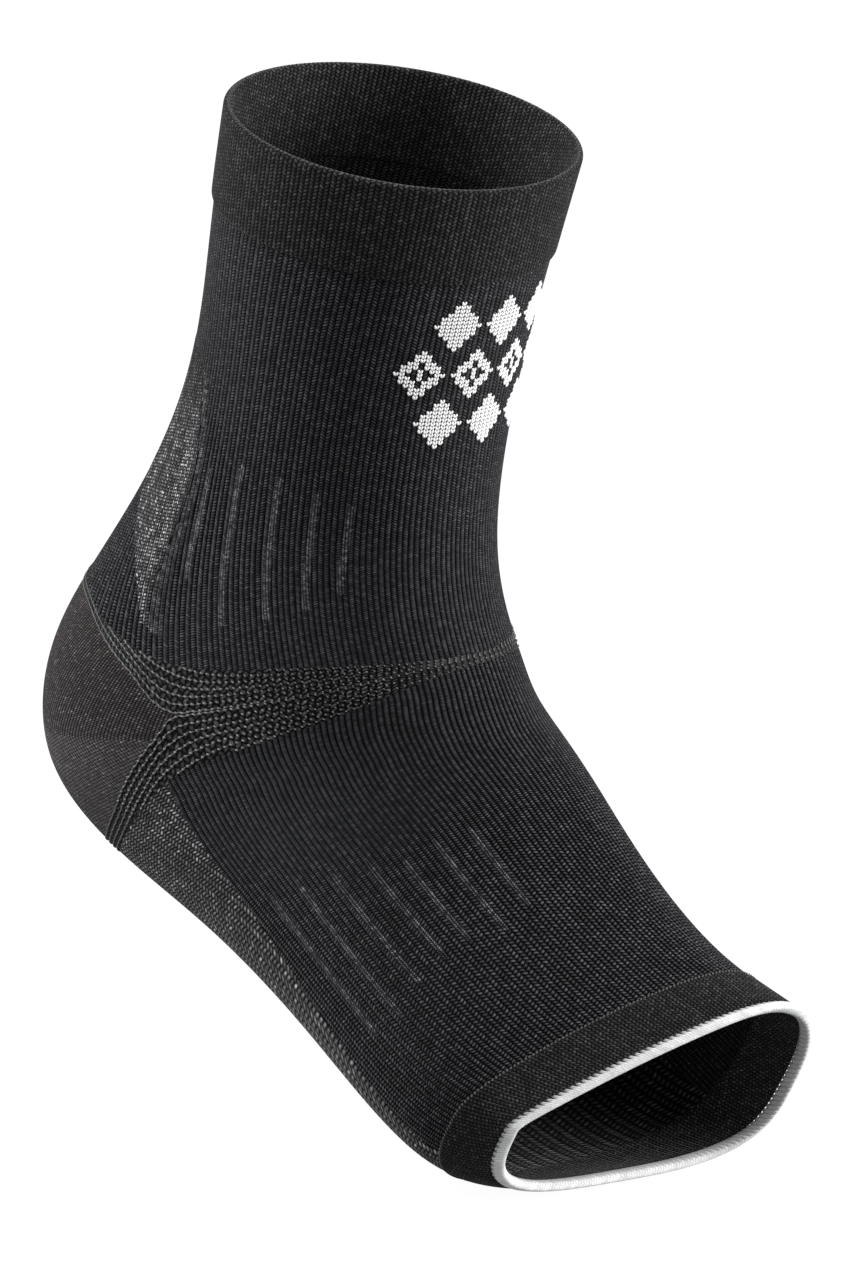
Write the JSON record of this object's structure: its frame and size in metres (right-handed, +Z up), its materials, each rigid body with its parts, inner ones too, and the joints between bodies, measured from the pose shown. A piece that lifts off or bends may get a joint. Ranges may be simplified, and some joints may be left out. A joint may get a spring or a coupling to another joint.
{
  "type": "arch support sleeve",
  "caption": "Open-toe knitted ankle and arch compression sleeve with doubled cuffs, gored heel cup, support panels and an overlocked toe edge, in its worn form.",
  "frame": {"origin": "middle of the ankle inside the sleeve, on the leg's axis, 140 mm below the top rim", "axes": "+Z up along the leg, -Y towards the toes, +X towards the inner side of a right foot"},
  "size_m": [0.092, 0.206, 0.238],
  "materials": {
    "ribbed_knit": "matte black ribbed compression knit",
    "cuff_knit": "matte black fine rib, doubled",
    "gore_knit": "black knit with grey dashed rows",
    "heel_knit": "fine smooth warm black jersey",
    "speckled_knit": "black and grey speckled support knit",
    "white_thread": "white overlock thread"
  },
  "bodies": {
    "root": {"top_cuff": "cuff_knit", "leg_tube": "ribbed_knit", "achilles_panel": "speckled_knit", "ankle_band": "gore_knit", "heel_cup": "heel_knit", "foot_tube": "ribbed_knit", "sole_panel": "speckled_knit", "toe_cuff": "cuff_knit", "toe_edging": "white_thread"}
  },
  "joints": []
}
